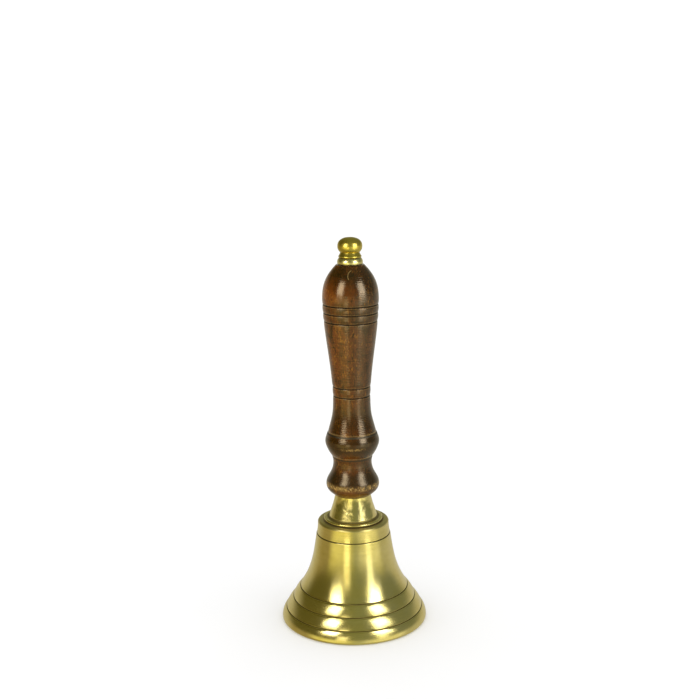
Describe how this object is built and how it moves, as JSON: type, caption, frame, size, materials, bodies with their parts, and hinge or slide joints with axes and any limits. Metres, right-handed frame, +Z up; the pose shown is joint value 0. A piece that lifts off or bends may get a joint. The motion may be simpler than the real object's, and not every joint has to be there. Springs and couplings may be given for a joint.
{
  "type": "hand bell",
  "caption": "Turned brass hand bell on a turned wooden handle, with a brass neck, a ball finial and a free-hanging clapper inside.",
  "frame": {"origin": "centre of the bell's rim, in the plane that the rim stands on", "axes": "+Z up the axis of the bell and handle towards the finial; X and Y are the two directions in which the clapper swings"},
  "size_m": [0.0946, 0.0946, 0.25],
  "materials": {
    "bell_brass": "turned satin",
    "neck_brass": "polished by hand",
    "collar_brass": "polished",
    "finial_brass": "polished",
    "clapper_brass": "dull",
    "handle_wood": "stained and lacquered",
    "rod_steel": "plain"
  },
  "bodies": {
    "bell_and_handle": {"bell": "bell_brass", "neck_socket": "neck_brass", "handle": "handle_wood", "finial_collar": "collar_brass", "finial_ball": "finial_brass", "tie_rod": "rod_steel", "crown_washer": "rod_steel", "crown_nut": "rod_steel"},
    "link": {"clapper_link": "rod_steel"},
    "clapper": {"clapper_stem": "rod_steel", "clapper_ball": "clapper_brass", "clapper_nut": "rod_steel"}
  },
  "joints": [
    {"name": "link_swing", "type": "hinge", "parent": "bell_and_handle", "child": "link", "pos_m": [0, 0, 0.049], "axis": [1, 0, 0], "range_deg": [-10, 10]},
    {"name": "clapper_swing", "type": "hinge", "parent": "link", "child": "clapper", "pos_m": [0, 0, 0.0433], "axis": [0, 1, 0], "range_deg": [-41, 41]}
  ]
}
